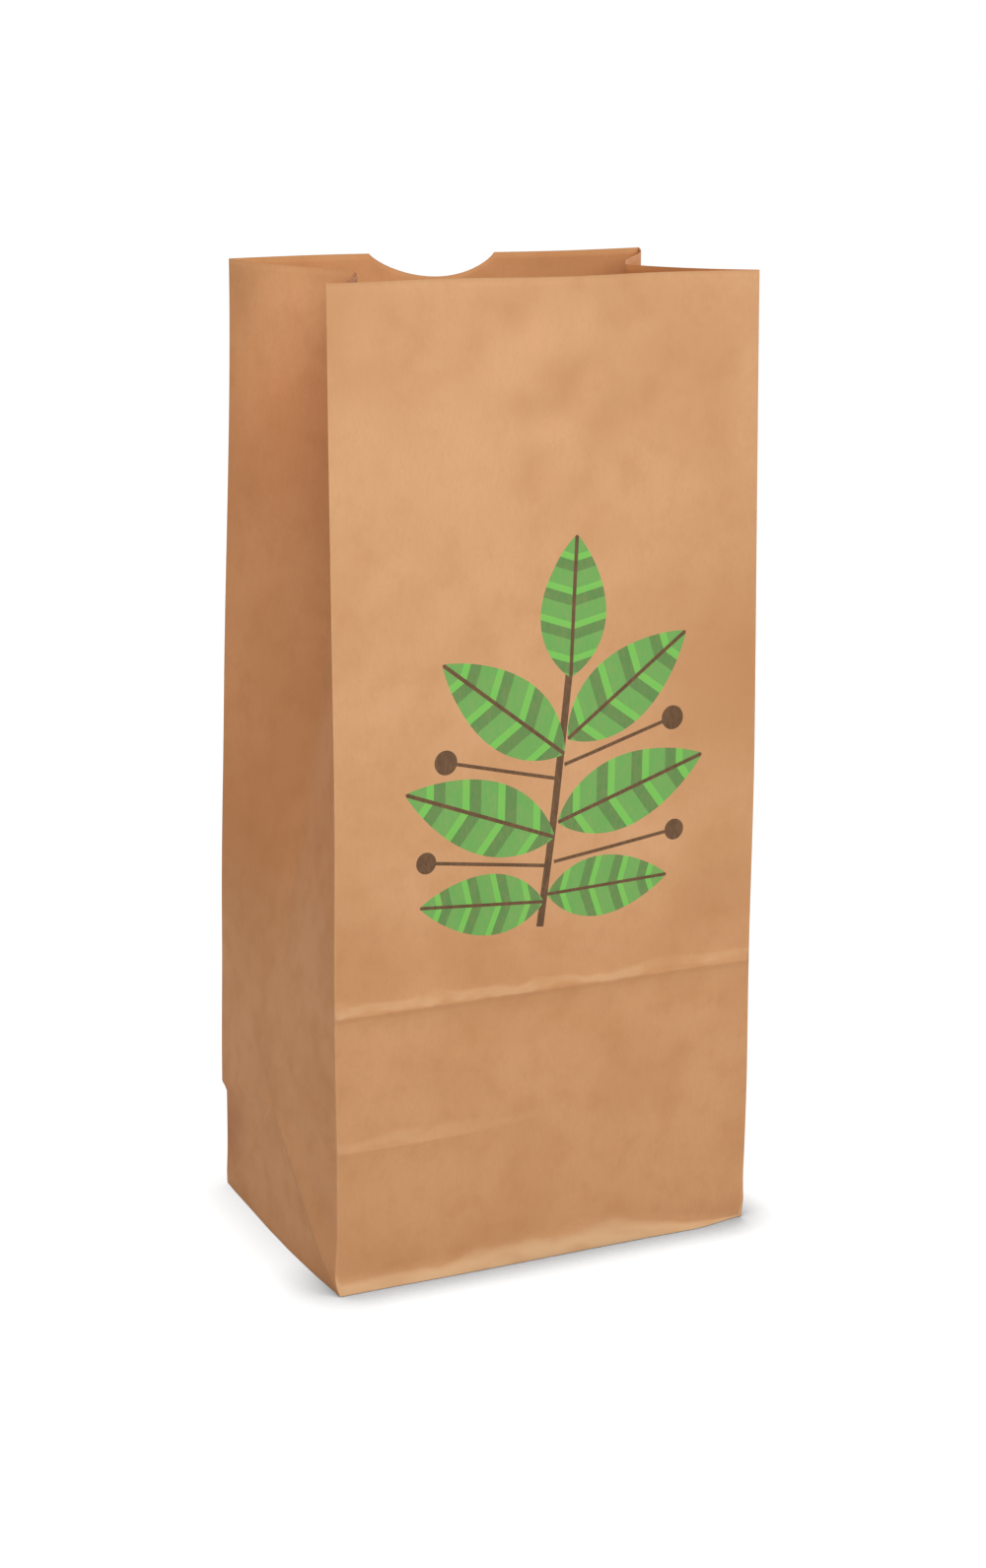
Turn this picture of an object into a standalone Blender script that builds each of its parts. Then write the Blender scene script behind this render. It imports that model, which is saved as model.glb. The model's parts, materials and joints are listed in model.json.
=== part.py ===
"""A flat-bottomed gusseted bag folded from one sheet of brown paper, standing open.

The sheet starts as an open box, is cut along its folds, and is then moved to the shape in
which the bag stands: gussets tucked in at the mouth, front leaning back, its bottom edge
flared out as a low lip.
+Z is up, the front panel faces -Y, and the origin is on the floor under the middle of the bag.
"""

import math

import bmesh
import bpy
from mathutils import Matrix, Vector

# Sizes of the folded sheet, in metres
WIDTH = 0.130
DEPTH = 0.082
HEIGHT = 0.275
PLY = 0.0001
SEAM_WIDTH = 0.012
SEAM_OFFSET = 0.030
FLAP_OVERLAP = 0.020
STEP_RUN = 0.0004
NOTCH_WIDTH = 0.0372
NOTCH_DEPTH = 0.0067
NOTCH_OFFSET = -0.0026
NOTCH_FULLNESS = 0.80
NOTCH_SKEW = 0.12
NOTCH_REACH = 0.010
PRESS_LINE_HEIGHT = 0.080

# How the opened bag stands, in metres
MOUTH_TUCK = 0.0231
FRONT_LEAN = 0.0164
LEAN = 0.0015
HIP = 0.0008
HIP_REACH = 0.065
SIDE_POUCH = 0.0020
BACK_KINK = 0.0010
KINK_RUN = 0.004
KINK_FADE_FROM = 0.160
BACK_SAG = 0.008
SAG_REACH = 0.060
PRESS_RIDGE = 0.0010
PRESS_ABOVE = 0.004
PRESS_BELOW = 0.006
FRONT_WAVE = 0.0022
BACK_WAVE = 0.0032
WAVE_REACH = 0.090
LIP_HEIGHT = 0.0075
LIP_FLARE = 0.0024
LIP_ROW = 0.006
LIP_DEPTH = 0.008
GUSSET_RIDGE = 0.0006
FOLD_INSIDE = 0.004
FOLD_OUTSIDE = 0.014
TUCK_BOW = 0.0030
BACK_BOW = -0.35
BOW_SLANT = 0.6

# Layers of paper in the bottom, and how finely the sheet is divided
BOTTOM_PLIES = 4
PANEL_COLUMNS = 12
GUSSET_COLUMNS = 8
WALL_ROW = 0.014
NOTCH_POINTS = 24

HALF_W = WIDTH / 2
HALF_D = DEPTH / 2


def smooth(value, low, high):
    """0 below low, 1 above high, and an even S between them."""
    t = min(max((value - low) / (high - low), 0.0), 1.0)
    return t * t * (3 - 2 * t)


def ridge(value, top):
    """1 at a level fold, falling straight to 0 a short way above it and a longer way below."""
    run = PRESS_ABOVE if value > top else PRESS_BELOW
    return max(0.0, 1 - abs(value - top) / run)


def tuck(z):
    """How far a gusset's middle fold is pushed in at height z."""
    share = (z - HALF_D) / (HEIGHT - HALF_D)
    rise = min(max((share - 0.08) / 0.92, 0.0), 1.0)
    pushed = MOUTH_TUCK * math.sin(math.pi / 2 * rise) ** 1.3
    pouch = SIDE_POUCH * (z / HALF_D if z < HALF_D else 1 - smooth(z, HALF_D, 2 * HALF_D))
    return pushed - pouch


def front_y(z):
    share = max(0.0, (z - HALF_D) / (HEIGHT - HALF_D))
    return -HALF_D + FRONT_LEAN * share**1.4


def back_y(z):
    """The back panel stands where two straight gusset halves reach from the front."""
    pushed = max(tuck(z), 0.0)
    kink = BACK_KINK * smooth(z, HALF_D - KINK_RUN, HALF_D) * (1 - smooth(z, KINK_FADE_FROM, HEIGHT))
    return front_y(z) + 2 * math.sqrt(HALF_D**2 - pushed**2) + kink


def sway(z):
    """The mouth leans a little to the right, and the pressed crease stands a little to the left."""
    hip = 1 - smooth(abs(z - PRESS_LINE_HEIGHT), 0, HIP_REACH)
    return LEAN * (z / HEIGHT) ** 4 - HIP * hip


def mouth_fade(z):
    return max(0.0, 1 - (HEIGHT - z) / WAVE_REACH) ** 2


def across(x):
    """0 at a panel's left edge and 1 at its right."""
    return min(max(x / WIDTH + 0.5, 0.0), 1.0)


def lip_top(x):
    """How high the lip along the front's bottom edge reaches."""
    share = across(x)
    rise = 0.42 + 0.58 * smooth(share, 0.1, 0.58)
    return LIP_HEIGHT * rise * (1 - 0.88 * smooth(share, 0.62, 0.95))


def lip_out(x, z):
    flare = LIP_FLARE * (1 - smooth(across(x), 0.86, 1.0))
    return flare * max(0.0, 1 - z / lip_top(x))


def lip_row(x, z):
    """Height of the sheet's rows, one of which is moved to lie along the lip's top."""
    if z < LIP_ROW:
        return z * lip_top(x) / LIP_ROW
    return z + (lip_top(x) - LIP_ROW) * max(0.0, 1 - (z - LIP_ROW) / (HALF_D - LIP_ROW))


def front_point(x, z):
    share = across(x)
    z = lip_row(x, z)
    swell = math.sqrt(math.sin(math.pi * share)) if 0 < share < 1 else 0.0
    wave = -FRONT_WAVE * math.cos(2 * math.pi * (share - 0.52) / 0.56) * swell
    press = PRESS_RIDGE * ridge(z, PRESS_LINE_HEIGHT)
    fold = 0.6 * PRESS_RIDGE * ridge(z, HALF_D) * (1 - smooth(share, 0.15, 0.45))
    y = front_y(z) + wave * mouth_fade(z) - press - fold - lip_out(x, z)
    return Vector((x + sway(z), y, z))


def seam_rise(x):
    """Plies by which the seam's outer edge stands proud, easing away to its left."""
    from_right = SEAM_OFFSET + SEAM_WIDTH / 2 - x
    if from_right < -1e-7:
        return 0.0
    return min(max(2 - from_right / SEAM_WIDTH, 0.0), 1.0)


def back_sag(z):
    """The back's low fold has sunk towards the floor, and the paper near it with it."""
    return BACK_SAG * (z / HALF_D if z < HALF_D else 1 - smooth(z, HALF_D, HALF_D + SAG_REACH))


def back_point(x, z):
    share = across(x)
    wave = BACK_WAVE * math.sin(2 * math.pi * share) * mouth_fade(z)
    press = PRESS_RIDGE * ridge(z, PRESS_LINE_HEIGHT)
    y = back_y(z) + wave + press + PLY * seam_rise(x)
    return Vector((x + sway(z), y, z - back_sag(z)))


def gusset_fold(y, z):
    """How far a gusset stands proud about the folds of its bottom triangle."""
    if z >= HALF_D or z <= 0:
        return 0.0
    beside = HALF_D - abs(y) - z
    run = FOLD_INSIDE if beside > 0 else FOLD_OUTSIDE
    return GUSSET_RIDGE * (1.0 if y < 0 else 0.4) * max(0.0, 1 - abs(beside) / run)


def gusset_point(side, y, z):
    """A point of a side gusset, each half nearly straight from its corner to the middle fold."""
    share = 1 - abs(y) / HALF_D
    inward = tuck(z)
    pushed = max(inward, 0.0)
    bow = TUCK_BOW * pushed / MOUTH_TUCK * 4 * share * (1 - share)
    drop = pushed**2 / (2 * (HEIGHT - HALF_D)) * share
    offset = inward * (min(share * HALF_D / z, 1.0) if 0 < z < HALF_D else share)
    middle_y = (front_y(z) + back_y(z)) / 2
    if y < 0:
        along = front_y(z) + (middle_y - front_y(z)) * share - BOW_SLANT * bow
        along -= lip_out(side * HALF_W, z) * max(0.0, 1 - (y + HALF_D) / LIP_FLARE) ** 2
        up = z - drop
    else:
        bow *= BACK_BOW
        shelf = smooth(z, HALF_D - KINK_RUN, HALF_D) * (1 - smooth(z, HALF_D, 2 * HALF_D))
        offset -= BACK_KINK * shelf * (1 - share)
        along = back_y(z) + (middle_y - back_y(z)) * share + BOW_SLANT * bow
        up = z - drop - back_sag(z) * (1 - share) ** 1.5
    proud = gusset_fold(y, z) if abs(y) < HALF_D - 1e-6 else 0.0
    return Vector((side * (HALF_W - offset - bow + proud) + sway(z), along, up))


def flap_level(x, y):
    """How many plies the underside stands up from the floor at this place."""
    room = HALF_W - abs(x) + 1e-7
    if y <= FLAP_OVERLAP / 2 + 1e-7 and room >= HALF_D + y:
        return 0
    if y >= -FLAP_OVERLAP / 2 and room >= HALF_D - y:
        return 1
    return 2


def bottom_point(x, y):
    near = max(0.0, 1 - (y + HALF_D) / LIP_DEPTH)
    return Vector((x, y - lip_out(x, 0) * near, PLY * flap_level(x, y)))


def spread(low, high, count):
    return [low + (high - low) * i / count for i in range(1, count)]


def cut(sheet, faces, point, normal):
    """Divide the chosen faces of the sheet along a plane."""
    edges = {edge for face in faces for edge in face.edges}
    verts = {vert for face in faces for vert in face.verts}
    bmesh.ops.bisect_plane(
        sheet, geom=list(verts) + list(edges) + faces, dist=1e-7, plane_co=point, plane_no=normal
    )


def faces_on(sheet, axis, value):
    """The sheet's faces that lie in the plane where this axis has this value."""
    return [f for f in sheet.faces if all(abs(v.co[axis] - value) < 1e-6 for v in f.verts)]


def wall_heights():
    low = [LIP_ROW, LIP_DEPTH] + [HALF_D / 4 * i for i in range(2, 5)] + [HALF_D - KINK_RUN]
    press = [PRESS_LINE_HEIGHT - PRESS_BELOW, PRESS_LINE_HEIGHT, PRESS_LINE_HEIGHT + PRESS_ABOVE]
    between = spread(HALF_D, press[0], math.ceil((press[0] - HALF_D) / WALL_ROW))
    above = spread(press[2], HEIGHT, math.ceil((HEIGHT - press[2]) / WALL_ROW))
    return low + between + press + above


def folded_box():
    """The sheet as a box with an open top, divided along its folds, laps and rows."""
    sheet = bmesh.new()
    stretch = Matrix.Diagonal((WIDTH, DEPTH, HEIGHT, 1))
    bmesh.ops.create_cube(sheet, size=1, matrix=Matrix.Translation((0, 0, HEIGHT / 2)) @ stretch)
    bmesh.ops.delete(sheet, geom=faces_on(sheet, 2, HEIGHT), context="FACES")
    for z in wall_heights():
        cut(sheet, sheet.faces[:], (0, 0, z), (0, 0, 1))
    for x in spread(-HALF_W, HALF_W, PANEL_COLUMNS):
        cut(sheet, sheet.faces[:], (x, 0, 0), (1, 0, 0))
    for y in spread(-HALF_D, HALF_D, GUSSET_COLUMNS) + [-HALF_D + LIP_FLARE, -HALF_D + LIP_DEPTH]:
        cut(sheet, sheet.faces[:], (0, y, 0), (0, 1, 0))
    for side in (-1, 1):
        for end in (-1, 1):
            gusset = [f for f in faces_on(sheet, 0, side * HALF_W) if f.calc_center_median().z < HALF_D]
            half = [f for f in gusset if f.calc_center_median().y * end > 0]
            cut(sheet, half, (0, end * HALF_D, 0), (0, end, 1))
    return sheet


def cut_laps(sheet):
    """Cut the back seam's two edges, and the edges of the bottom's folded flaps."""
    for side in (-1, 1):
        for run in (0, STEP_RUN):
            x = SEAM_OFFSET + side * (SEAM_WIDTH / 2 + run)
            cut(sheet, faces_on(sheet, 1, HALF_D), (x, 0, 0), (1, 0, 0))
    for run in (0, STEP_RUN):
        cut(sheet, faces_on(sheet, 2, 0), (0, FLAP_OVERLAP / 2 + run, 0), (0, 1, 0))
        for side in (-1, 1):
            for end in (-1, 1):
                corner = (side * (HALF_W + run), end * HALF_D, 0)
                cut(sheet, faces_on(sheet, 2, 0), corner, (side, -end, 0))


def stand_open(sheet):
    """Move every point of the box to where it lies on the standing bag."""
    places = {}
    for vert in sheet.verts:
        x, y, z = vert.co
        inside = abs(x) < HALF_W - 1e-6 and abs(y) < HALF_D - 1e-6
        if z < 1e-6 and inside:
            places[vert] = bottom_point(x, y)
        elif abs(x) > HALF_W - 1e-6:
            places[vert] = gusset_point(math.copysign(1, x), y, z)
        elif y < 0:
            places[vert] = front_point(x, z)
        else:
            places[vert] = back_point(x, z)
    for vert, place in places.items():
        vert.co = place


def plies_at(place):
    """Layers of paper at a place on the box: one in the walls, two in the seam, more in the bottom."""
    x, y, z = place
    if z < 1e-6 and abs(x) < HALF_W - 1e-6 and abs(y) < HALF_D - 1e-6:
        return BOTTOM_PLIES
    if y > HALF_D - 1e-6 and abs(x - SEAM_OFFSET) <= SEAM_WIDTH / 2 + 1e-7:
        return 2
    return 1


def paper_material():
    paper = bpy.data.materials.new("kraft_paper")
    paper.use_nodes = True
    shader = paper.node_tree.nodes["Principled BSDF"]
    shader.inputs["Base Color"].default_value = (0.56, 0.33, 0.16, 1)
    shader.inputs["Roughness"].default_value = 0.85
    shader.inputs["Metallic"].default_value = 0.0
    return paper


def footprint_middle(sheet):
    """The middle of the bag's plan, which becomes the origin."""
    xs = [v.co.x for v in sheet.verts]
    ys = [v.co.y for v in sheet.verts]
    return Vector(((min(xs) + max(xs)) / 2, (min(ys) + max(ys)) / 2, 0))


def notch_cutter(middle):
    """A plug with the thumb notch's outline, which reaches through the back panel alone."""
    at = Vector((NOTCH_OFFSET + sway(HEIGHT), back_y(HEIGHT), HEIGHT)) - middle
    half = NOTCH_WIDTH / 2
    plug = bmesh.new()
    outline = [plug.verts.new(at + Vector((half, -NOTCH_REACH, NOTCH_REACH)))]
    for step in range(NOTCH_POINTS + 1):
        share = math.cos(math.pi * step / NOTCH_POINTS)
        deep = NOTCH_DEPTH * max(1 - share * share, 0.0) ** NOTCH_FULLNESS * (1 + NOTCH_SKEW * share)
        outline.append(plug.verts.new(at + Vector((half * share, -NOTCH_REACH, -deep))))
    outline.append(plug.verts.new(at + Vector((-half, -NOTCH_REACH, NOTCH_REACH))))
    face = plug.faces.new(outline)
    grown = bmesh.ops.extrude_face_region(plug, geom=[face])["geom"]
    ends = [part for part in grown if isinstance(part, bmesh.types.BMVert)]
    bmesh.ops.translate(plug, verts=ends, vec=(0, 2 * NOTCH_REACH, 0))
    bmesh.ops.recalc_face_normals(plug, faces=plug.faces[:])
    cutter = object_from(plug, "notch_cutter")
    cutter.hide_render = True
    cutter.display_type = "WIRE"
    return cutter


def object_from(sheet, name):
    mesh = bpy.data.meshes.new(name)
    sheet.to_mesh(mesh)
    sheet.free()
    made = bpy.data.objects.new(name, mesh)
    bpy.context.scene.collection.objects.link(made)
    return made


def paper_bag():
    """The standing bag, with its paper's thickness and the thumb notch as modifiers."""
    sheet = folded_box()
    cut_laps(sheet)
    plies = [plies_at(vert.co) for vert in sheet.verts]
    stand_open(sheet)
    middle = footprint_middle(sheet)
    bmesh.ops.translate(sheet, verts=sheet.verts[:], vec=-middle)
    bmesh.ops.triangulate(sheet, faces=sheet.faces[:])
    bmesh.ops.recalc_face_normals(sheet, faces=sheet.faces[:])

    bag = object_from(sheet, "paper_bag")
    bag.data.materials.append(paper_material())
    layers = bag.vertex_groups.new(name="plies")
    for index, count in enumerate(plies):
        layers.add([index], count / BOTTOM_PLIES, "REPLACE")
    wall = bag.modifiers.new("paper", "SOLIDIFY")
    wall.thickness = PLY * BOTTOM_PLIES
    wall.offset = -1
    wall.use_even_offset = True
    wall.vertex_group = layers.name
    notch = bag.modifiers.new("thumb_notch", "BOOLEAN")
    notch.operation = "DIFFERENCE"
    notch.solver = "EXACT"
    notch.object = notch_cutter(middle)
    return bag


def main():
    for old in list(bpy.data.objects):
        bpy.data.objects.remove(old, do_unlink=True)
    paper_bag()


main()
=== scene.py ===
import json
import math

import bmesh
import bpy
from mathutils import Matrix, Vector, noise

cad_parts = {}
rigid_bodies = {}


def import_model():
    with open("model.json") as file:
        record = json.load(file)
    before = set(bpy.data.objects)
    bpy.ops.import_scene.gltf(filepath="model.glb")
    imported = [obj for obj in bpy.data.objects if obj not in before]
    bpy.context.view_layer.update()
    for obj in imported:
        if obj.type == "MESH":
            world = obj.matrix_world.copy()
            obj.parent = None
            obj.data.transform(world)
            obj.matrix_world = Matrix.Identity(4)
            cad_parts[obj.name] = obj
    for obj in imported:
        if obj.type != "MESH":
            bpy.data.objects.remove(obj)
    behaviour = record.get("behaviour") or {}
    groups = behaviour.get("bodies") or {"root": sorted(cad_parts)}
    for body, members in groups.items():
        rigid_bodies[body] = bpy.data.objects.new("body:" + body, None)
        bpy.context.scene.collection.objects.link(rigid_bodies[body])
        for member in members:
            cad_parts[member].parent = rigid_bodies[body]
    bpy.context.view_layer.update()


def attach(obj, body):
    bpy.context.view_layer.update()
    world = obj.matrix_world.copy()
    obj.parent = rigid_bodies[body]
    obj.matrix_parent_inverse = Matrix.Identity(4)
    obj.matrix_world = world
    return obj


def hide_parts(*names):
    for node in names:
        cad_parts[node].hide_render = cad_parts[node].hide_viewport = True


for old in list(bpy.data.objects):
    bpy.data.objects.remove(old, do_unlink=True)

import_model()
print("frame loaded")


# Camera

camera = {
    "place": (-0.35884, -0.70642, 0.35217),  # from the middle of the folded box
    "turn": 25.647,  # degrees right of straight on
    "down": 15.012,
    "roll": 1.022,
    "lens": 66.04,
    "shift": (0.04, -0.025),
}


def makeCamera(middle):
    turn, down, roll = (math.radians(camera[name]) for name in ("turn", "down", "roll"))
    data = bpy.data.cameras.new("camera")
    data.sensor_fit = "AUTO"
    data.sensor_width = 36
    data.lens = camera["lens"]
    data.shift_x, data.shift_y = camera["shift"]
    data.clip_start = 0.01
    data.clip_end = 20
    made = bpy.data.objects.new("camera", data)
    made.matrix_world = (
        Matrix.Translation(Vector(camera["place"]) - middle)
        @ Matrix.Rotation(-turn, 4, "Z")
        @ Matrix.Rotation(math.pi / 2 - down, 4, "X")
        @ Matrix.Rotation(roll, 4, "Z")
    )
    bpy.context.scene.collection.objects.link(made)
    bpy.context.scene.camera = made


# Node helpers

def feed(tree, value, socket):  # a socket is linked, anything else is a plain value
    if isinstance(value, bpy.types.NodeSocket):
        tree.links.new(value, socket)
    else:
        socket.default_value = value


def calc(tree, operation, *values, clamp=False):
    node = tree.nodes.new("ShaderNodeMath")
    node.operation = operation
    node.use_clamp = clamp
    for value, socket in zip(values, node.inputs):
        feed(tree, value, socket)
    return node.outputs[0]


def rescale(tree, value, low, high, toLow=0.0, toHigh=1.0, kind="SMOOTHSTEP"):
    node = tree.nodes.new("ShaderNodeMapRange")
    node.interpolation_type = kind
    for name, amount in (("Value", value), ("From Min", low), ("From Max", high),
                         ("To Min", toLow), ("To Max", toHigh)):
        feed(tree, amount, node.inputs[name])
    return node.outputs["Result"]


def mix(tree, factor, first, second, kind, sort):
    node = tree.nodes.new("ShaderNodeMix")
    node.data_type = "RGBA" if sort == "Color" else "FLOAT"
    node.blend_type = kind
    sockets = {socket.identifier: socket for socket in node.inputs}
    feed(tree, factor, sockets["Factor_Float"])
    feed(tree, first, sockets["A_" + sort])
    feed(tree, second, sockets["B_" + sort])
    return next(socket for socket in node.outputs if socket.identifier == "Result_" + sort)


def mixColour(tree, factor, first, second, kind="MIX"):
    return mix(tree, factor, first, second, kind, "Color")


def mixNumber(tree, factor, first, second):
    return mix(tree, factor, first, second, "MIX", "Float")


def noiseField(tree, vector, scale, detail=2.0, rough=0.5, distort=0.0):
    node = tree.nodes.new("ShaderNodeTexNoise")
    for name, amount in (("Vector", vector), ("Scale", scale), ("Detail", detail),
                         ("Roughness", rough), ("Distortion", distort)):
        feed(tree, amount, node.inputs[name])
    return node.outputs["Fac"]


def stretched(tree, vector, scale):
    node = tree.nodes.new("ShaderNodeVectorMath")
    node.operation = "MULTIPLY"
    feed(tree, vector, node.inputs[0])
    node.inputs[1].default_value = scale
    return node.outputs["Vector"]


def parted(tree, vector):
    node = tree.nodes.new("ShaderNodeSeparateXYZ")
    feed(tree, vector, node.inputs[0])
    return node.outputs


def written(tree, name):  # what the sheet's mesh says under that name
    node = tree.nodes.new("ShaderNodeAttribute")
    node.attribute_name = name
    return node.outputs["Vector"]


def blend(*colour):  # an sRGB colour of 0 to 255 as the shader's own numbers
    return tuple(((c / 255 + 0.055) / 1.055) ** 2.4 if c > 10 else c / 3295 for c in colour) + (1.0,)


# The bag's shape: a box folded from one sheet, then moved to how it stands open

bag = {
    "width": 0.130,
    "depth": 0.082,
    "height": 0.275,
    "ply": 0.0001,
    "panelCells": 64,
    "gussetCells": 40,
    "rows": 134,
    "foldRow": 20,  # the gussets fold as high as half the depth
    "pressRow": 39,  # the crease where the flat bag's bottom was turned up
    "foldRadius": 0.0004,
    "foldBorder": 0.0010,
    "mouthTuck": 0.0231,
    "tuckStart": 0.08,
    "frontLean": 0.0164,
    "lean": 0.0015,  # to the right at the mouth
    "hip": 0.0008,  # to the left about the pressed crease
    "hipReach": 0.065,
    "sidePouch": 0.0020,
    "backKink": 0.0010,
    "kinkRun": 0.004,
    "kinkFade": 0.160,
    "backSag": 0.008,
    "sagReach": 0.060,
    "pressRidge": 0.0011,
    "pressAbove": 0.004,
    "pressBelow": 0.008,
    "lowRidge": 0.00066,  # the second crease's, at the left of the front
    "lowRidgeEnd": (0.15, 0.45),
    "frontWave": 0.0022,
    "frontWaveMiddle": 0.52,  # as a share of the width, as is the next
    "frontWaveLength": 0.56,
    "backWave": 0.0032,
    "waveReach": 0.090,
    "lipHeight": 0.0075,  # the front's bottom edge flares out as a low lip
    "lipFlare": 0.0024,
    "lipRows": 3,
    "lipEnds": (0.42, 0.12),  # how much of its height is left at each end
    "lipRise": (0.10, 0.58),
    "lipFall": (0.62, 0.95),
    "lipStop": 0.86,
    "lipUnder": 0.008,
    "baseSwell": 0.0013,
    "swellUnder": 0.010,
    "gussetRidge": 0.0009,
    "foldInside": 0.004,
    "foldOutside": 0.014,
    "foldEndRun": 0.004,
    "foldBaseRun": 0.006,
    "backFoldShare": 0.4,
    "creaseStart": 0.012,
    "gussetWave": -0.0010,
    "gussetWaveReach": 0.13,
    "tuckBow": 0.0030,
    "backBow": -0.20,
    "bowSlant": 0.6,
    "notchWidth": 0.0372,
    "notchDepth": 0.0067,
    "notchOffset": -0.0026,
    "notchFullness": 0.80,
    "notchSkew": 0.12,
    "notchReach": 0.018,
    "notchCells": 18,
    "seamWidth": 0.012,
    "seamOffset": 0.030,
    "flapOverlap": 0.020,
    "stepRun": 0.0003,
    "crumple": 0.00035,
    "crumpleRoom": 0.012,
    "wideScale": (22, 16),  # across and up
    "fineScale": (75, 60),
    "fineShare": 0.35,
}
halfW = bag["width"] / 2
halfD = bag["depth"] / 2
height = bag["height"]
rowHeight = height / bag["rows"]
foldHeight = rowHeight * bag["foldRow"]
pressHeight = rowHeight * bag["pressRow"]

# Soft dents in the front: across, up, half width, half height and depth, in millimetres
dents = [
    (-6, 264, 4, 5, 1.2),
    (10, 247, 3.5, 5, 1.3),
    (-1, 238, 5, 4, 1.2),
    (22, 238, 5, 4, 0.8),
    (-2, 224, 4, 5, 1.1),
    (10, 214, 5, 4, 1.3),
    (0, 206, 4, 5, 1.0),
]


def smooth(value, low, high):
    t = min(max((value - low) / (high - low), 0.0), 1.0)
    return t * t * (3 - 2 * t)


def bell(value, reach):  # 1 at the middle and 0 from the reach on, rounded at both
    return 1 - smooth(abs(value), 0, reach)


def pressedRidge(z, top):  # an old fold's profile: a short slope above it, a long hollow below
    if z > top:
        return max(0.0, 1 - (z - top) / bag["pressAbove"]) ** 1.4
    return max(0.0, 1 - (top - z) / bag["pressBelow"]) ** 3


def tuck(z):  # how far a gusset's middle fold is pushed in
    share = (z - halfD) / (height - halfD)
    rise = min(max((share - bag["tuckStart"]) / (1 - bag["tuckStart"]), 0.0), 1.0)
    pushed = bag["mouthTuck"] * math.sin(math.pi / 2 * rise) ** 1.3
    pouch = bag["sidePouch"] * (z / halfD if z < halfD else 1 - smooth(z, halfD, 2 * halfD))
    return pushed - pouch


def frontY(z):
    share = max(0.0, (z - halfD) / (height - halfD))
    return -halfD + bag["frontLean"] * share**1.4


def backY(z):
    pushed = max(tuck(z), 0.0)
    kink = bag["backKink"] * smooth(z, halfD - bag["kinkRun"], halfD)
    kink *= 1 - smooth(z, bag["kinkFade"], height)
    return frontY(z) + 2 * math.sqrt(halfD**2 - pushed**2) + kink


def sway(z):
    return bag["lean"] * (z / height) ** 4 - bag["hip"] * bell(z - pressHeight, bag["hipReach"])


def mouthFade(z):
    return max(0.0, 1 - (height - z) / bag["waveReach"]) ** 2


def across(x):
    return min(max(x / bag["width"] + 0.5, 0.0), 1.0)


def crumple(x, y, z, room):  # gentle unevenness, which fades out towards a fold
    wide, fine = bag["wideScale"], bag["fineScale"]
    out = noise.noise(Vector((x * wide[0], y * wide[0], z * wide[1])))
    out += bag["fineShare"] * noise.noise(Vector((x * fine[0] + 9, y * fine[0], z * fine[1])))
    return bag["crumple"] * out * min(room / bag["crumpleRoom"], 1.0)


def lipTop(x):  # how high the lip along the front's bottom edge reaches
    share = across(x)
    left, right = bag["lipEnds"]
    rise = left + (1 - left) * smooth(share, *bag["lipRise"])
    return bag["lipHeight"] * rise * (1 - (1 - right) * smooth(share, *bag["lipFall"]))


def lipOut(x, z):
    flare = bag["lipFlare"] * (1 - smooth(across(x), bag["lipStop"], 1.0))
    return flare * max(0.0, 1 - z / lipTop(x))


def lipRow(x, z):  # moves the sheet's rows so that one lies along the lip's top
    row = rowHeight * bag["lipRows"]
    if z < row:
        return z * lipTop(x) / row
    return z + (lipTop(x) - row) * max(0.0, 1 - (z - row) / (foldHeight - row))


def frontPoint(x, z):
    share = across(x)
    z = lipRow(x, z)
    swell = math.sqrt(math.sin(math.pi * share)) if 0 < share < 1 else 0.0
    turn = (share - bag["frontWaveMiddle"]) / bag["frontWaveLength"]
    wave = -bag["frontWave"] * math.cos(2 * math.pi * turn) * swell
    press = bag["pressRidge"] * pressedRidge(z, pressHeight)
    fold = bag["lowRidge"] * pressedRidge(z, foldHeight) * (1 - smooth(share, *bag["lowRidgeEnd"]))
    dent = sum(
        deep * bell(1000 * x - at, 2 * wide) * bell(1000 * z - up, 2 * tall)
        for at, up, wide, tall, deep in dents
    )
    y = frontY(z) + wave * mouthFade(z) - press - fold + dent / 1000
    y += crumple(x, 0, z, halfW - abs(x)) - lipOut(x, z)
    return Vector((x + sway(z), y, z))


def seamRise(x):  # plies by which the lap seam stands proud
    fromRight = bag["seamOffset"] + bag["seamWidth"] / 2 - x
    if fromRight < -1e-7:
        return 0.0
    return min(max(2 - fromRight / bag["seamWidth"], 0.0), 1.0)


def backSag(z):
    reach = halfD + bag["sagReach"]
    return bag["backSag"] * (z / halfD if z < halfD else 1 - smooth(z, halfD, reach))


def notchDrop(x, z):  # the paper's top edge follows the thumb notch
    share = (x - bag["notchOffset"]) / (bag["notchWidth"] / 2)
    deep = bag["notchDepth"] * max(1 - share * share, 0.0) ** bag["notchFullness"]
    deep *= 1 + bag["notchSkew"] * share
    return deep * min(max(1 - (height - z) / bag["notchReach"], 0.0), 1.0)


def backPoint(x, z):
    wave = bag["backWave"] * math.sin(2 * math.pi * across(x)) * mouthFade(z)
    press = bag["pressRidge"] * pressedRidge(z, pressHeight)
    y = backY(z) + wave + press + bag["ply"] * seamRise(x)
    y += crumple(x, 1, z, halfW - abs(x))
    return Vector((x + sway(z), y, z - backSag(z) - notchDrop(x, z)))


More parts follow.
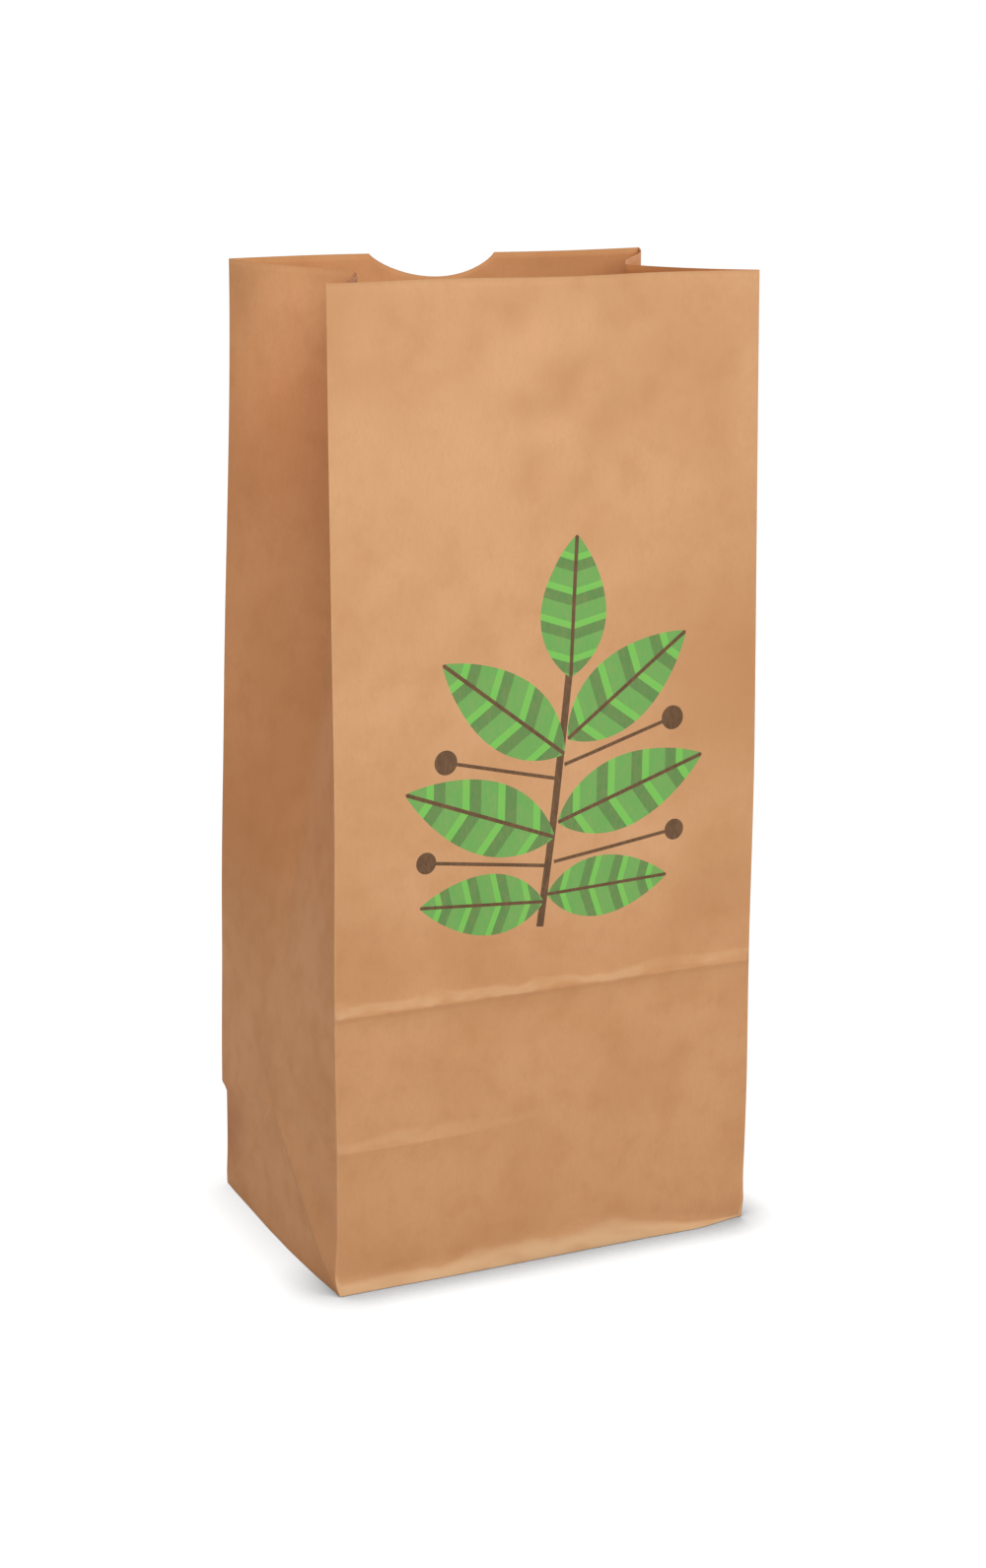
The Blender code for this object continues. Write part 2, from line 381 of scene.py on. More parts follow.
def gussetPoint(side, y, z):
    share = 1 - abs(y) / halfD
    inward = tuck(z)
    pushed = max(inward, 0.0)
    bow = bag["tuckBow"] * pushed / bag["mouthTuck"] * 4 * share * (1 - share)
    drop = pushed**2 / (2 * (height - halfD)) * share
    offset = inward * (min(share * halfD / z, 1.0) if 0 < z < halfD else share)
    middleY = (frontY(z) + backY(z)) / 2
    if y < 0:
        along = frontY(z) + (middleY - frontY(z)) * share - bag["bowSlant"] * bow
        along -= lipOut(side * halfW, z) * max(0.0, 1 - (y + halfD) / bag["lipFlare"]) ** 2
        up = z - drop
    else:
        bow *= bag["backBow"]
        waves = math.sin(2 * math.pi * share) * bell(height - z, bag["gussetWaveReach"])
        bow += bag["gussetWave"] * waves
        shelf = smooth(z, halfD - bag["kinkRun"], halfD) * (1 - smooth(z, halfD, 2 * halfD))
        offset -= bag["backKink"] * shelf * (1 - share)
        along = backY(z) + (middleY - backY(z)) * share + bag["bowSlant"] * bow
        up = z - drop - backSag(z) * (1 - share) ** 1.5
    room = min(halfD - abs(y), abs(y) if z > foldHeight else 1)
    out = crumple(side, y, z, room) + gussetFold(y, z) + baseSwell(side, y, z)
    return Vector((side * (halfW - offset - bow + out) + sway(z), along, up))


def baseSwell(side, y, z):  # the left gusset's bottom edge bows out a little
    if side > 0 or z > foldHeight:
        return 0.0
    return bag["baseSwell"] * (1 - (y / halfD) ** 2) * (1 - z / foldHeight) ** 2


def gussetFold(y, z):  # the folds about the bottom triangle, proud of the paper
    out = 0.0
    beside = halfD - abs(y) - z * halfD / foldHeight  # above 0 within the triangle
    if z < foldHeight:
        run = bag["foldInside"] if beside > 0 else bag["foldOutside"]
        away = max(0.0, 1 - abs(beside) / run)
        ends = min(1.0, z / bag["foldBaseRun"], (foldHeight - z) / bag["foldEndRun"])
        out += bag["gussetRidge"] * (1.0 if y < 0 else bag["backFoldShare"]) * away**1.3 * ends
    if y > 0:
        level = bag["gussetRidge"] * pressedRidge(z, foldHeight)
        out += level * min(1.0, y / bag["foldEndRun"], (halfD - y) / bag["foldEndRun"])
    return out


def flapLevel(x, y):  # plies between the underside and the floor
    room = halfW - abs(x) + 1e-7
    if y <= bag["flapOverlap"] / 2 + 1e-7 and room >= halfD + y:
        return 0
    if y >= -bag["flapOverlap"] / 2 and room >= halfD - y:
        return 1
    return 2


def bottomPoint(x, y):
    near = max(0.0, 1 - (y + halfD) / bag["lipUnder"])
    edge = baseSwell(-1, y, 0) * max(0.0, 1 - (x + halfW) / bag["swellUnder"])
    return Vector((x - edge, y - lipOut(x, 0) * near, bag["ply"] * flapLevel(x, y)))


def addPanel(sheet, place, size, cells):
    bmesh.ops.create_grid(
        sheet, x_segments=cells[0], y_segments=cells[1], size=0.5,
        matrix=place @ Matrix.Diagonal((size[0], size[1], 1, 1)),
    )


def foldedBox():
    sheet = bmesh.new()
    upright = Matrix.Rotation(math.pi / 2, 4, "X")
    for quarter in range(4):
        wide = quarter % 2 == 0
        width, out = (bag["width"], halfD) if wide else (bag["depth"], halfW)
        place = Matrix.Rotation(quarter * math.pi / 2, 4, "Z")
        place = place @ Matrix.Translation((0, -out, height / 2)) @ upright
        cells = bag["panelCells"] if wide else bag["gussetCells"]
        addPanel(sheet, place, (width, height), (cells, bag["rows"]))
    flat = Matrix.Rotation(math.pi, 4, "X")
    addPanel(sheet, flat, (bag["width"], bag["depth"]), (bag["panelCells"], bag["gussetCells"]))
    bmesh.ops.remove_doubles(sheet, verts=sheet.verts[:], dist=1e-5)
    return sheet


def cut(sheet, faces, point, normal):
    edges = {edge for face in faces for edge in face.edges}
    verts = {vert for face in faces for vert in face.verts}
    bmesh.ops.bisect_plane(
        sheet, geom=list(verts) + list(edges) + faces, dist=2e-6, plane_co=point, plane_no=normal
    )


def facesOn(sheet, axis, value, keep=lambda middle: True):
    return [
        f for f in sheet.faces
        if all(abs(v.co[axis] - value) < 1e-5 for v in f.verts) and keep(f.calc_center_median())
    ]


def cutCreases(sheet):
    border = bag["foldBorder"]
    for x in (-halfW + border, halfW - border):
        cut(sheet, sheet.faces[:], (x, 0, 0), (1, 0, 0))
    for y in (-halfD + border, -border, border, halfD - border):
        cut(sheet, sheet.faces[:], (0, y, 0), (0, 1, 0))
    steps = (-0.0013, -0.0006, -0.0002, 0.0004, 0.0012, 0.0028)
    beside = [crease + step for crease in (pressHeight, foldHeight) for step in steps]
    for z in [border] + beside:
        cut(sheet, sheet.faces[:], (0, 0, z), (0, 0, 1))
    for side in (-1, 1):
        for end in (-1, 1):
            half = facesOn(sheet, 0, side * halfW, lambda m: m.z < foldHeight and m.y * end > 0)
            cut(sheet, half, (0, end * halfD, 0), (0, end, halfD / foldHeight))


def cutNotchAndSeam(sheet):
    top = height - bag["notchReach"]
    for step in range(bag["notchCells"] + 1):
        share = math.cos(math.pi * step / bag["notchCells"])
        x = bag["notchOffset"] + share * bag["notchWidth"] / 2
        cut(sheet, facesOn(sheet, 1, halfD, lambda m: m.z > top), (x, 0, 0), (1, 0, 0))
    for side in (-1, 1):
        for run in (0, bag["stepRun"]):
            x = bag["seamOffset"] + side * (bag["seamWidth"] / 2 + run)
            cut(sheet, facesOn(sheet, 1, halfD), (x, 0, 0), (1, 0, 0))


def cutFlaps(sheet):
    for run in (0, bag["stepRun"]):
        cut(sheet, facesOn(sheet, 2, 0), (0, bag["flapOverlap"] / 2 + run, 0), (0, 1, 0))
        for side in (-1, 1):
            for end in (-1, 1):
                corner = (side * (halfW + run), end * halfD, 0)
                cut(sheet, facesOn(sheet, 2, 0), corner, (side, -end, 0))


def isFold(edge):  # the box's own edges, and each gusset's middle line above its bottom triangle
    a, b = (v.co for v in edge.verts)
    sideways = [abs(abs(p.x) - halfW) < 1e-5 for p in (a, b)]
    facing = [abs(abs(p.y) - halfD) < 1e-5 for p in (a, b)]
    low = [p.z < 1e-5 for p in (a, b)]
    middle = [abs(p.y) < 1e-5 and p.z > foldHeight + bag["creaseStart"] for p in (a, b)]
    corner = all(sideways) and all(facing)
    base = all(low) and (all(sideways) or all(facing))
    return corner or base or (all(sideways) and all(middle))


def standOpen(sheet):
    places = {}
    for vert in sheet.verts:
        x, y, z = vert.co
        inside = abs(x) < halfW - 1e-5 and abs(y) < halfD - 1e-5
        if z < 1e-5 and inside:
            places[vert] = bottomPoint(x, y)
        elif abs(x) > halfW - 1e-5:
            places[vert] = gussetPoint(math.copysign(1, x), y, z)
        elif y < 0:
            places[vert] = frontPoint(x, z)
        else:
            places[vert] = backPoint(x, z)
    for vert, place in places.items():
        vert.co = place


# Where the panels lie across the map, each within a reach of 2 of its middle
panels = {"gusset": 5.0, "back": 10.0, "bottom": 20.0, "reach": 2.0}


def writeSheetMap(sheet):  # every panel's own stretch of the map, in tenths of a metre
    layer = sheet.loops.layers.uv.new("sheet")
    for face in sheet.faces:
        middle = face.calc_center_median()
        for loop in face.loops:
            x, y, z = (10 * value for value in loop.vert.co)
            if middle.z < 1e-5:
                place = (panels["bottom"] + x, y)
            elif abs(middle.x) > halfW - 1e-5:
                place = (math.copysign(panels["gusset"] + y, x), z)
            else:
                place = (x if middle.y < 0 else panels["back"] + x, z)
            loop[layer].uv = place


def makeBag(materials):  # gives the bag and the middle of its footprint
    sheet = foldedBox()
    cutCreases(sheet)
    cutNotchAndSeam(sheet)
    cutFlaps(sheet)
    writeSheetMap(sheet)
    folds = [edge for edge in sheet.edges if isFold(edge)]
    standOpen(sheet)
    xs = [v.co.x for v in sheet.verts]
    ys = [v.co.y for v in sheet.verts]
    middle = Vector(((min(xs) + max(xs)) / 2, (min(ys) + max(ys)) / 2, 0))
    print("middle of the footprint", [round(1000 * v, 3) for v in middle])
    bmesh.ops.translate(sheet, verts=sheet.verts[:], vec=-middle)
    bmesh.ops.bevel(
        sheet, geom=folds, offset=bag["foldRadius"], offset_type="OFFSET", segments=2,
        profile=0.5, affect="EDGES", material=-1, clamp_overlap=True,
    )
    bmesh.ops.recalc_face_normals(sheet, faces=sheet.faces[:])
    writePaintedLightAndShade(sheet)
    mesh = bpy.data.meshes.new("paper_bag_sheet")
    sheet.to_mesh(mesh)
    sheet.free()
    mesh.shade_smooth()
    for material in materials:
        mesh.materials.append(material)
    made = bpy.data.objects.new("paper_bag_sheet", mesh)
    bpy.context.scene.collection.objects.link(made)
    wall = made.modifiers.new("paper", "SOLIDIFY")
    wall.thickness = bag["ply"]
    wall.offset = -1
    wall.use_even_offset = True
    wall.material_offset = 1
    wall.material_offset_rim = 1
    return made, middle


# Kraft paper, with the print on its outer face

paper = {
    "light": (225, 174, 129),
    "middle": (215, 163, 117),
    "deep": (198, 143, 97),
    # the lighter tone of the folds, the creases and the lip: painted highlight, partly worn paper
    "highlightAndWear": (233, 193, 149),
    "inner": (255, 244, 230),  # multiplied in on the inside
    "gusset": (255, 236, 222),  # painted shade on the gussets, multiplied in, as is the next
    # darker towards the bottom of the front and back
    "lower": (247, 240, 234),
    "lowerFrom": 0.120,
    "lowerFade": 0.030,
    "gussetLeft": 0.55,  # of its painted shade, low down
    "cloudScale": 34,
    "patchScale": 120,
    "fibreScale": 800,
    "fleckScale": 1700,
    "breakupScale": 70,
    "cloudRange": (0.35, 0.65),
    "patchRange": (0.42, 0.80),
    "fibreRange": (0.35, 0.70),
    "fleckRange": (0.68, 0.76),
    "breakupRange": (0.35, 0.60),
    "clouds": 0.7,
    "patches": 0.30,
    "fibres": 0.12,
    "flecks": 0.30,
    # painted highlight along the folds, partly worn paper
    "foldHighlightAndWear": 0.14,
    "foldShade": 0.42,
    "foldEdge": (0.010, 0.001),  # on the map, as is the next
    "shadeEdge": (0.016, 0.003),
    # painted highlight above the creases and on the lip, partly worn paper; painted shade below the
    # pressed crease
    "pressHighlightAndWear": 0.36,
    "pressShade": 0.22,
    "secondHighlightAndWear": 0.16,
    "lipHighlightAndWear": 0.80,
    "rough": (0.72, 0.86),
    "shine": 0.25,
    "bump": 0.2,
    "bumpDepth": 0.0002,
}
# Painted light and shade, lighter and darker areas about the dents and across the paper: across, up and
# reach on the map in millimetres, and strength
paintedLightAndShade = [
    (-20, 225, 45, 0.60),
    (-4, 258, 18, 0.60),
    (2, 228, 12, 0.50),
    (16, 196, 26, 0.50),
    (-66, 270, 40, -0.30),
    (64, 165, 60, -0.80),
    (56, 104, 26, -0.40),
    (-60, 108, 30, -0.30),
    (-535, 112, 46, -0.55),
    (-11, 267, 11, -0.38),
    (3, 248, 9, -0.46),
    (16, 236, 12, -0.38),
    (-8, 241, 9, -0.30),
    (-6, 223, 12, -0.34),
    (13, 206, 16, -0.30),
    (40, 245, 34, -0.30),
    (-14, 251, 10, 0.80),
    (9, 262, 11, 0.60),
    (-56, 238, 16, 0.60),
    (-38, 228, 22, 0.60),
    (3, 235, 7, 0.50),
]
# Painted light and shade, areas whose colour is multiplied: paler in the left gusset's upper hollow,
# darker low at its back and in the gussets' corners at the mouth. Side, across, up and reach as above,
# and the colour multiplied in
paintedLightAndShadeColours = [
    ("outside", -512, 240, 44, (1.15, 1.13, 1.17)),
    ("outside", -524, 276, 44, (1.02, 1.12, 1.20)),
    ("outside", -541, 24, 28, (0.80, 0.74, 0.75)),
    ("inside", -480, 273, 24, (0.56, 0.51, 0.47)),
    ("inside", 480, 273, 24, (0.70, 0.66, 0.62)),
    ("inside", 525, 269, 28, (0.78, 0.73, 0.70)),
]
inks = {
    "brown": (90, 67, 48),
    "mid": (104, 178, 92),
    "dark": (88, 144, 80),
    "bright": (114, 206, 92),
    "cover": (0.94, 0.84),  # the second on the fibres
    "brightBand": 0.52,
    "darkBand": 0.32,
    "fullness": 0.85,  # lower makes the leaves blunter
    "taper": -0.22,  # narrower towards the tip
    "bands": 2.1,  # along half a leaf
    "bandSlant": -0.30,
    "vein": 0.055,
}
# Leaves of the sprig: base across and up, direction in degrees, length and width, in millimetres
leaves = [
    (6, 167, 87, 39, 20),
    (5, 150, 36, 46, 20),
    (4, 146, 143, 46, 20),
    (2, 127, 18, 48, 20),
    (1, 123, 160, 48, 20),
    (-1, 107, 2, 38, 17),
    (-2, 105, 176, 38, 17),
]
# Its brown stalks in millimetres: base and tip across and up, half the thickness, the berry's radius
stalks = [
    (-3, 98, 6, 172, 1.1, 0),
    (4, 143, 38, 153, 0.5, 3.4),
    (3, 139, -32, 147, 0.5, 3.4),
    (1, 116, 39, 121, 0.5, 3.0),
    (0, 115, -38, 120, 0.5, 3.0),
]


def areaShare(place, x, z, reach):  # 1 at an area's middle and 0 from its reach on
    away = math.hypot(100 * place[0] - x, 100 * place[1] - z)
    return bell(away, reach) if away < reach else 0.0


def paintedLightAndShadeAt(place):  # painted light and shade: the shares by which the paper is mixed to its light and then to its deep tone
    toLight, toDeep = 0.0, 0.0
    for x, z, reach, strength in paintedLightAndShade:
        share = abs(strength) * areaShare(place, x, z, reach)
        toLight, toDeep = toLight * (1 - share), toDeep * (1 - share)
        if strength > 0:
            toLight += share
        else:
            toDeep += share
    return Vector((toLight / (1 - toDeep), toDeep, 0))


def paintedLightAndShadeColourAt(place, face):
    colour = Vector((1, 1, 1))
    for side, x, z, reach, paintedColour in paintedLightAndShadeColours:
        if side == face:
            share = areaShare(place, x, z, reach)
            colour = Vector([old * (1 + share * (new - 1)) for old, new in zip(colour, paintedColour)])
    return colour


def writePaintedLightAndShade(sheet):
    layers = sheet.loops.layers
    sheetMap = layers.uv["sheet"]
    paintedLightAndShadeLayer = layers.float_vector.new("paintedLightAndShade")
    paintedColourLayers = {face: layers.float_vector.new(face + "LightAndShade") for face in ("outside", "inside")}
    for face in sheet.faces:
        for loop in face.loops:
            place = loop[sheetMap].uv
            loop[paintedLightAndShadeLayer] = paintedLightAndShadeAt(place)
            for side, layer in paintedColourLayers.items():
                loop[layer] = paintedLightAndShadeColourAt(place, side)


def turned(tree, u, up, middle, half, angle):  # a shape's own frame, in which it reaches 1 each way
    cos, sin = math.cos(angle), math.sin(angle)
    ways = []
    for right, rise, reach in ((cos, sin, half[0]), (-sin, cos, half[1])):
        start = -(middle[0] * right + middle[1] * rise) / reach
        start = calc(tree, "MULTIPLY_ADD", up, 100 * rise / reach, start)
        ways.append(calc(tree, "MULTIPLY_ADD", u, 100 * right / reach, start))
    return ways[0], calc(tree, "ABSOLUTE", ways[1])


def leafInk(tree, u, up, leaf):  # where one leaf is, and its own frame
    x, z, turn, long, wide = leaf
    angle = math.radians(turn)
    middle = (x + math.cos(angle) * long / 2, z + math.sin(angle) * long / 2)
    along, aside = turned(tree, u, up, middle, (long / 2, wide / 2), angle)
    room = calc(tree, "SUBTRACT", 1.0, calc(tree, "MULTIPLY", along, along))
    room = calc(tree, "POWER", calc(tree, "MAXIMUM", room, 0.0), inks["fullness"])
    edge = calc(tree, "MULTIPLY", room, calc(tree, "MULTIPLY_ADD", along, inks["taper"], 1.0))
    return calc(tree, "GREATER_THAN", edge, aside), along, aside


def stalkInk(tree, u, up, stalk):
    x, z, tipX, tipZ, half, berry = stalk
    angle = math.atan2(tipZ - z, tipX - x)
    long = math.hypot(tipX - x, tipZ - z) / 2
    along, aside = turned(tree, u, up, ((x + tipX) / 2, (z + tipZ) / 2), (long, half), angle)
    away = calc(tree, "MAXIMUM", calc(tree, "ABSOLUTE", along), aside)
    shown = calc(tree, "LESS_THAN", away, 1.0)
    if berry:
        along, aside = turned(tree, u, up, (tipX, tipZ), (berry, berry), angle)
        ring = calc(tree, "MULTIPLY_ADD", along, along, calc(tree, "MULTIPLY", aside, aside))
        shown = calc(tree, "MAXIMUM", shown, calc(tree, "LESS_THAN", ring, 1.0))
    return shown


def sprigInk(tree, u, up):  # the colour of the print, and how much of it covers the paper
    stalkCover, leafCover, along, aside = 0.0, 0.0, 0.0, 1.0
    for stalk in stalks:
        stalkCover = calc(tree, "MAXIMUM", stalkCover, stalkInk(tree, u, up, stalk))
    for leaf in leaves:
        shown, leafAlong, leafAside = leafInk(tree, u, up, leaf)
        along = mixNumber(tree, shown, along, leafAlong)
        aside = mixNumber(tree, shown, aside, leafAside)
        leafCover = calc(tree, "MAXIMUM", leafCover, shown)
    slant = calc(tree, "MULTIPLY_ADD", aside, inks["bandSlant"], 4.0)
    band = calc(tree, "FRACT", calc(tree, "MULTIPLY_ADD", along, inks["bands"], slant))
    brown, mid, dark, bright = (blend(*inks[name]) for name in ("brown", "mid", "dark", "bright"))
    colour = mixColour(tree, calc(tree, "LESS_THAN", band, inks["brightBand"]), mid, bright)
    colour = mixColour(tree, calc(tree, "LESS_THAN", band, inks["darkBand"]), colour, dark)
    colour = mixColour(tree, calc(tree, "LESS_THAN", aside, inks["vein"]), colour, brown)
    colour = mixColour(tree, leafCover, brown, colour)
    return colour, calc(tree, "MAXIMUM", stalkCover, leafCover)


def gapTo(tree, value, level):
    return calc(tree, "ABSOLUTE", calc(tree, "SUBTRACT", value, level))


def sheetFolds(tree, place):  # the map's numbers, two panels, and how far off the folds are
    u, up = parted(tree, place)[:2]
    away = calc(tree, "ABSOLUTE", u)
    side = gapTo(tree, away, panels["gusset"])
    front = calc(tree, "LESS_THAN", away, panels["reach"])
    back = calc(tree, "LESS_THAN", gapTo(tree, away, panels["back"]), panels["reach"])
    gusset = calc(tree, "LESS_THAN", side, panels["reach"])
    wide, deep, fold = 10 * halfW, 10 * halfD, 10 * foldHeight
    slant = gapTo(tree, calc(tree, "MULTIPLY_ADD", side, fold / deep, up), fold)
    flat = calc(tree, "MAXIMUM", front, back)
    fromMiddle = gapTo(tree, away, calc(tree, "MULTIPLY", back, panels["back"]))
    nearest = 1.0
    edges = (flat, gapTo(tree, fromMiddle, wide)), (gusset, gapTo(tree, side, deep))
    for applies, gap in (*edges, (gusset, slant)):
        gap = calc(tree, "ADD", gap, calc(tree, "SUBTRACT", 1.0, applies))
        nearest = calc(tree, "MINIMUM", nearest, gap)
    backHalf = calc(tree, "GREATER_THAN", away, panels["gusset"])
    elsewhere = calc(tree, "MAXIMUM", calc(tree, "SUBTRACT", 1.0, gusset), backHalf)
    return u, up, front, gusset, nearest, calc(tree, "ADD", slant, elsewhere)


def creaseBand(tree, up, level, low, high):  # a band beside a level crease, soft at both sides
    edge = (high - low) / 3
    lower = rescale(tree, up, 10 * (level + low), 10 * (level + low + edge))
    upper = rescale(tree, up, 10 * (level + high), 10 * (level + high - edge))
    return calc(tree, "MULTIPLY", lower, upper)


def kraftPaper(name, outside):
    made = bpy.data.materials.new(name)
    made.use_nodes = True
    tree = made.node_tree
    shader = tree.nodes["Principled BSDF"]
    here = tree.nodes.new("ShaderNodeTexCoord").outputs["Object"]
    place = tree.nodes.new("ShaderNodeUVMap").outputs[0]
    u, up, front, gusset, nearest, slant = sheetFolds(tree, place)
    light, middle, deep, highlightAndWear = (blend(*paper[name]) for name in ("light", "middle", "deep", "highlightAndWear"))
    cloud = noiseField(tree, here, paper["cloudScale"], 2, 0.5)
    patch = noiseField(tree, here, paper["patchScale"], 3, 0.55)
    fibre = noiseField(tree, stretched(tree, here, (1, 1, 0.3)), paper["fibreScale"], 2, 0.6, 1.5)
    fleck = noiseField(tree, here, paper["fleckScale"], 1, 0.5)
    broken = noiseField(tree, stretched(tree, here, (1, 1, 2)), paper["breakupScale"], 2, 0.5)
    tone = mixColour(tree, rescale(tree, cloud, *paper["cloudRange"], 0, paper["clouds"]), middle, light)
    tone = mixColour(tree, rescale(tree, patch, *paper["patchRange"], 0, paper["patches"]), tone, deep)
    if outside:
        # painted light and shade from the listed areas
        toLight, toDeep = parted(tree, written(tree, "paintedLightAndShade"))[:2]
        tone = mixColour(tree, toLight, tone, light)
        tone = mixColour(tree, toDeep, tone, deep)
    # painted light and shade, multiplied in from the listed areas
    paintedColour = written(tree, "outsideLightAndShade" if outside else "insideLightAndShade")
    tone = mixColour(tree, 1.0, tone, paintedColour, "MULTIPLY")
    tone = mixColour(tree, rescale(tree, fibre, *paper["fibreRange"], 0, paper["fibres"]), tone, deep)
    tone = mixColour(tree, rescale(tree, fleck, *paper["fleckRange"], 0, paper["flecks"]), tone, deep)
    # Painted shade: the gussets are multiplied deeper, less so low down. The front and back are darker
    # towards the bottom.
    start = paper["lowerFrom"]
    low = rescale(tree, up, 10 * start, 10 * (start - paper["lowerFade"]))
    gussetShadeShare = calc(tree, "MULTIPLY_ADD", low, paper["gussetLeft"] - 1, 1.0)
    gussetShadeShare = calc(tree, "MULTIPLY", gusset, gussetShadeShare)
    tone = mixColour(tree, gussetShadeShare, tone, blend(*paper["gusset"]), "MULTIPLY")
    plain = calc(tree, "MULTIPLY", low, calc(tree, "SUBTRACT", 1.0, gusset))
    tone = mixColour(tree, plain, tone, blend(*paper["lower"]), "MULTIPLY")
    # Painted highlight along the folds, partly worn paper, broken up by noise.
    highlightAndWearBreakup = rescale(tree, broken, *paper["breakupRange"], 0.30, 1.0)
    line = rescale(tree, nearest, *paper["foldEdge"], 0, paper["foldHighlightAndWear"])
    tone = mixColour(tree, calc(tree, "MULTIPLY", line, highlightAndWearBreakup), tone, highlightAndWear)
    line = rescale(tree, slant, *paper["shadeEdge"], 0, paper["foldShade"])
    tone = mixColour(tree, line, tone, deep)
    if outside:
        # Painted highlight above the two creases and on the lip, partly worn paper; painted shade just
        # below the pressed crease.
        wavy = calc(tree, "MULTIPLY_ADD", calc(tree, "SUBTRACT", broken, 0.5), 0.06, up)
        strip = creaseBand(tree, wavy, pressHeight, 0.0001, 0.0036)
        strip = calc(tree, "MULTIPLY", strip, calc(tree, "MULTIPLY", highlightAndWearBreakup, paper["pressHighlightAndWear"]))
        second = creaseBand(tree, wavy, foldHeight, 0.0001, 0.0040)
        second = calc(tree, "MULTIPLY", second, rescale(tree, u, 0.1, -0.3, 0, paper["secondHighlightAndWear"]))
        strip = calc(tree, "MAXIMUM", strip, second)
        lipUp = 10 * rowHeight * bag["lipRows"]
        lip = rescale(tree, wavy, lipUp + 0.004, lipUp - 0.032, 0, paper["lipHighlightAndWear"])
        lip = calc(tree, "MULTIPLY", lip, rescale(tree, broken, *paper["breakupRange"], 0.65, 1.0))
        highlightAndWearMask = calc(tree, "MULTIPLY", front, calc(tree, "MAXIMUM", strip, lip))
        tone = mixColour(tree, highlightAndWearMask, tone, highlightAndWear)
        under = creaseBand(tree, up, pressHeight, -0.0020, -0.0001)
        under = calc(tree, "MULTIPLY", calc(tree, "MULTIPLY", front, paper["pressShade"]), under)
        tone = mixColour(tree, under, tone, deep)
        colour, cover = sprigInk(tree, u, up)
        ink = rescale(tree, fibre, *paper["fibreRange"], *inks["cover"])
        tone = mixColour(tree, calc(tree, "MULTIPLY", cover, ink), tone, colour)
    else:
        tone = mixColour(tree, 1.0, tone, blend(*paper["inner"]), "MULTIPLY")
    feed(tree, tone, shader.inputs["Base Color"])
    feed(tree, rescale(tree, patch, 0.3, 0.7, *paper["rough"]), shader.inputs["Roughness"])
    shader.inputs["Specular IOR Level"].default_value = paper["shine"]
    bump = tree.nodes.new("ShaderNodeBump")
    bump.inputs["Strength"].default_value = paper["bump"]
    bump.inputs["Distance"].default_value = paper["bumpDepth"]
    feed(tree, calc(tree, "MULTIPLY_ADD", patch, 1.5, fibre), bump.inputs["Height"])
    feed(tree, bump.outputs["Normal"], shader.inputs["Normal"])
    return made


print("modelling the bag")
papers = [kraftPaper("kraft_paper_outside", True), kraftPaper("kraft_paper_inside", False)]
sheetBag, footprint = makeBag(papers)
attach(sheetBag, "root")
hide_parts("paper_bag")
print("bag made,", len(sheetBag.data.polygons), "faces")

makeCamera(footprint)
print("camera placed")


# Floor and light

studio = {
    "floorSize": 6.0,
    "floorGap": 0.00015,  # keeps the bag's underside clear of it
    "floor": 0.75,
    "seenFloor": 0.15,
    "floorGlow": 0.95,
    "contact": 0.014,  # how far the shadow at the base reaches
    "frontShade": 0.10,
    "sideShade": 0.75,
    "shadeRun": (-0.046, -0.015),  # from the front's shade to the side's
    "world": 0.42,
    "worldTint": (1.0, 0.96, 0.91),
    "lampAim": (0.0, 0.0, 0.16),
}
# Soft lamps: name, place, size and power
lamps = [
    ("key", (-0.14, -0.85, 0.80), 0.9, 6.45),
    ("fill", (0.50, 0.85, 0.70), 0.9, 5.0),
]


def seenOrReflected(tree):
    path = tree.nodes.new("ShaderNodeLightPath").outputs
    seen = calc(tree, "MAXIMUM", path["Is Camera Ray"], path["Is Glossy Ray"])
    return calc(tree, "MAXIMUM", seen, path["Is Transmission Ray"])


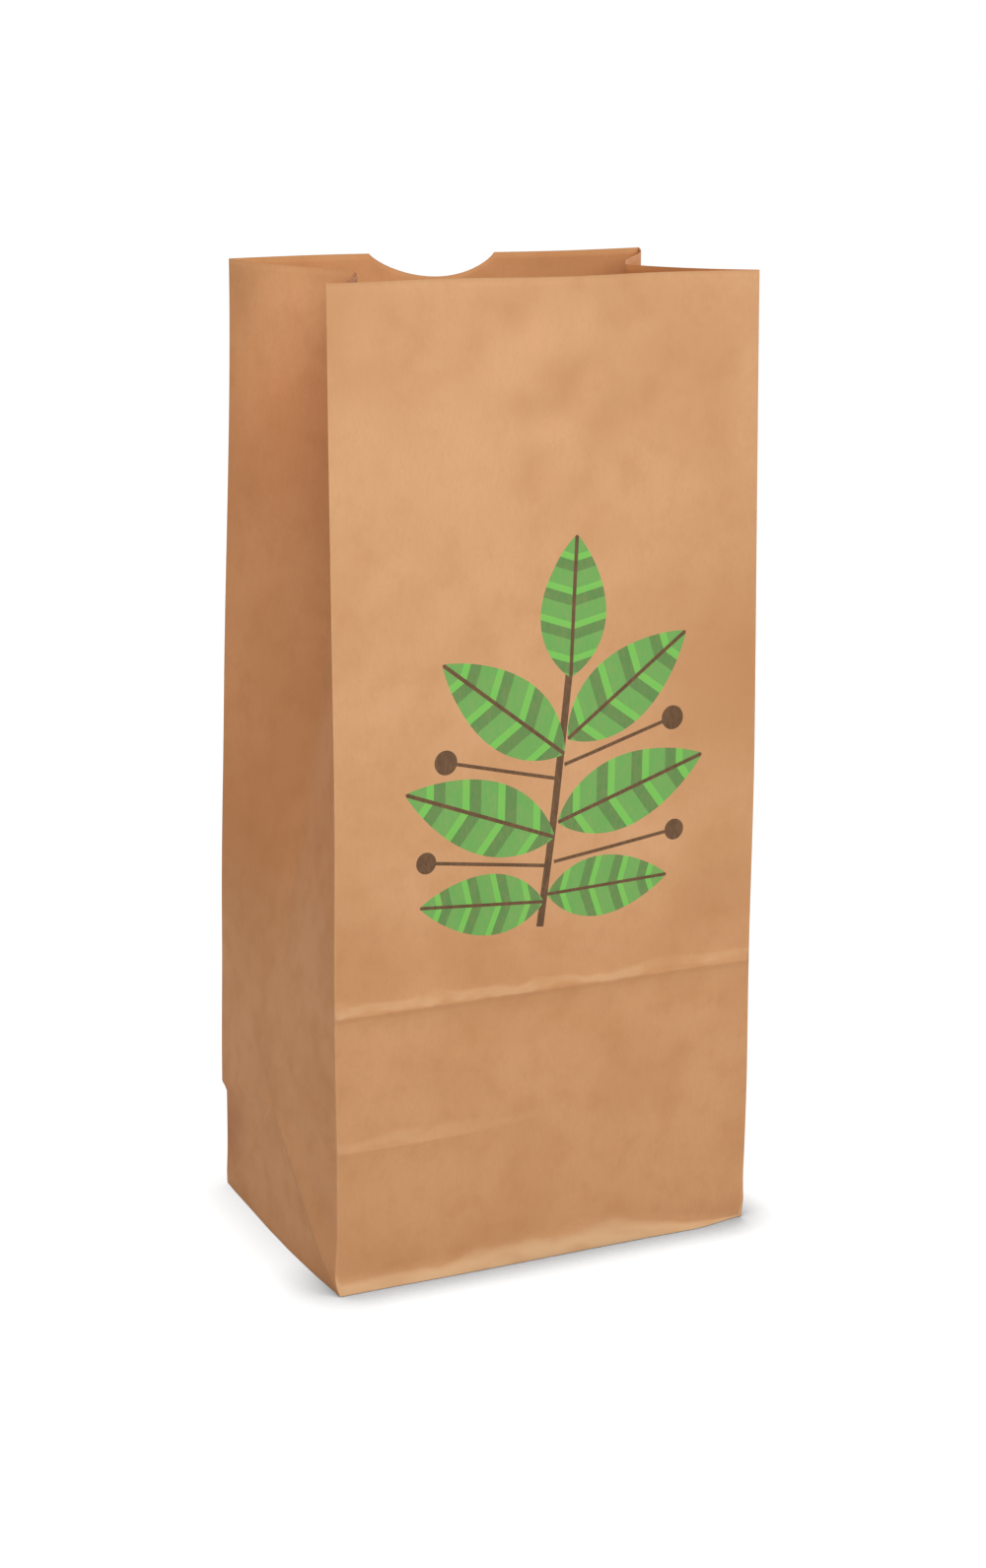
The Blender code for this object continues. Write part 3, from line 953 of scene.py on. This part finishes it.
def makeFloor():
    material = bpy.data.materials.new("pale_floor")
    material.use_nodes = True
    tree = material.node_tree
    shader = tree.nodes["Principled BSDF"]
    shader.inputs["Roughness"].default_value = 0.9
    shader.inputs["Specular IOR Level"].default_value = 0.0
    shade, seen = studio["floor"], studio["seenFloor"]
    bare = seenOrReflected(tree)
    tone = mixColour(tree, bare, (shade, shade, shade, 1), (seen, seen, seen, 1))
    # The shadow at the base is painted: ambient occlusion darkens the floor's colour and glow, more in
    # front than at the sides.
    close = tree.nodes.new("ShaderNodeAmbientOcclusion")
    close.samples = 2
    close.inputs["Distance"].default_value = studio["contact"]
    depth = parted(tree, tree.nodes.new("ShaderNodeTexCoord").outputs["Object"])[1]
    start, end = studio["shadeRun"]
    darkest = rescale(tree, depth, start, end, studio["frontShade"], studio["sideShade"])
    clear = rescale(tree, close.outputs["AO"], 0.4, 1.0, darkest, 1.0, "LINEAR")
    feed(tree, mixColour(tree, clear, (0, 0, 0, 1), tone), shader.inputs["Base Color"])
    shader.inputs["Emission Color"].default_value = (1, 1, 1, 1)
    glow = calc(tree, "MULTIPLY", clear, studio["floorGlow"])
    feed(tree, calc(tree, "MULTIPLY", bare, glow), shader.inputs["Emission Strength"])
    flat = bmesh.new()
    low = Matrix.Translation((0, 0, -studio["floorGap"]))
    bmesh.ops.create_grid(flat, x_segments=1, y_segments=1, size=studio["floorSize"] / 2, matrix=low)
    mesh = bpy.data.meshes.new("floor")
    flat.to_mesh(mesh)
    flat.free()
    mesh.materials.append(material)
    floor = bpy.data.objects.new("floor", mesh)
    bpy.context.scene.collection.objects.link(floor)


def makeLight():
    world = bpy.data.worlds.new("studio")
    world.use_nodes = True
    tree = world.node_tree
    background = tree.nodes["Background"]
    bare = seenOrReflected(tree)
    strength = rescale(tree, bare, 0, 1, studio["world"], 1.0, "LINEAR")
    feed(tree, strength, background.inputs["Strength"])
    tint = mixColour(tree, bare, (*studio["worldTint"], 1), (1, 1, 1, 1))
    feed(tree, tint, background.inputs["Color"])
    bpy.context.scene.world = world
    for name, place, size, power in lamps:
        data = bpy.data.lights.new(name, "AREA")
        data.shape = "DISK"
        data.size = size
        data.energy = power
        lamp = bpy.data.objects.new(name, data)
        aim = Vector(studio["lampAim"]) - Vector(place)
        turn = aim.to_track_quat("-Z", "Y").to_matrix().to_4x4()
        lamp.matrix_world = Matrix.Translation(place) @ turn
        bpy.context.scene.collection.objects.link(lamp)


makeFloor()
makeLight()
bpy.context.scene.view_settings.view_transform = "Standard"
print("floor and light made")
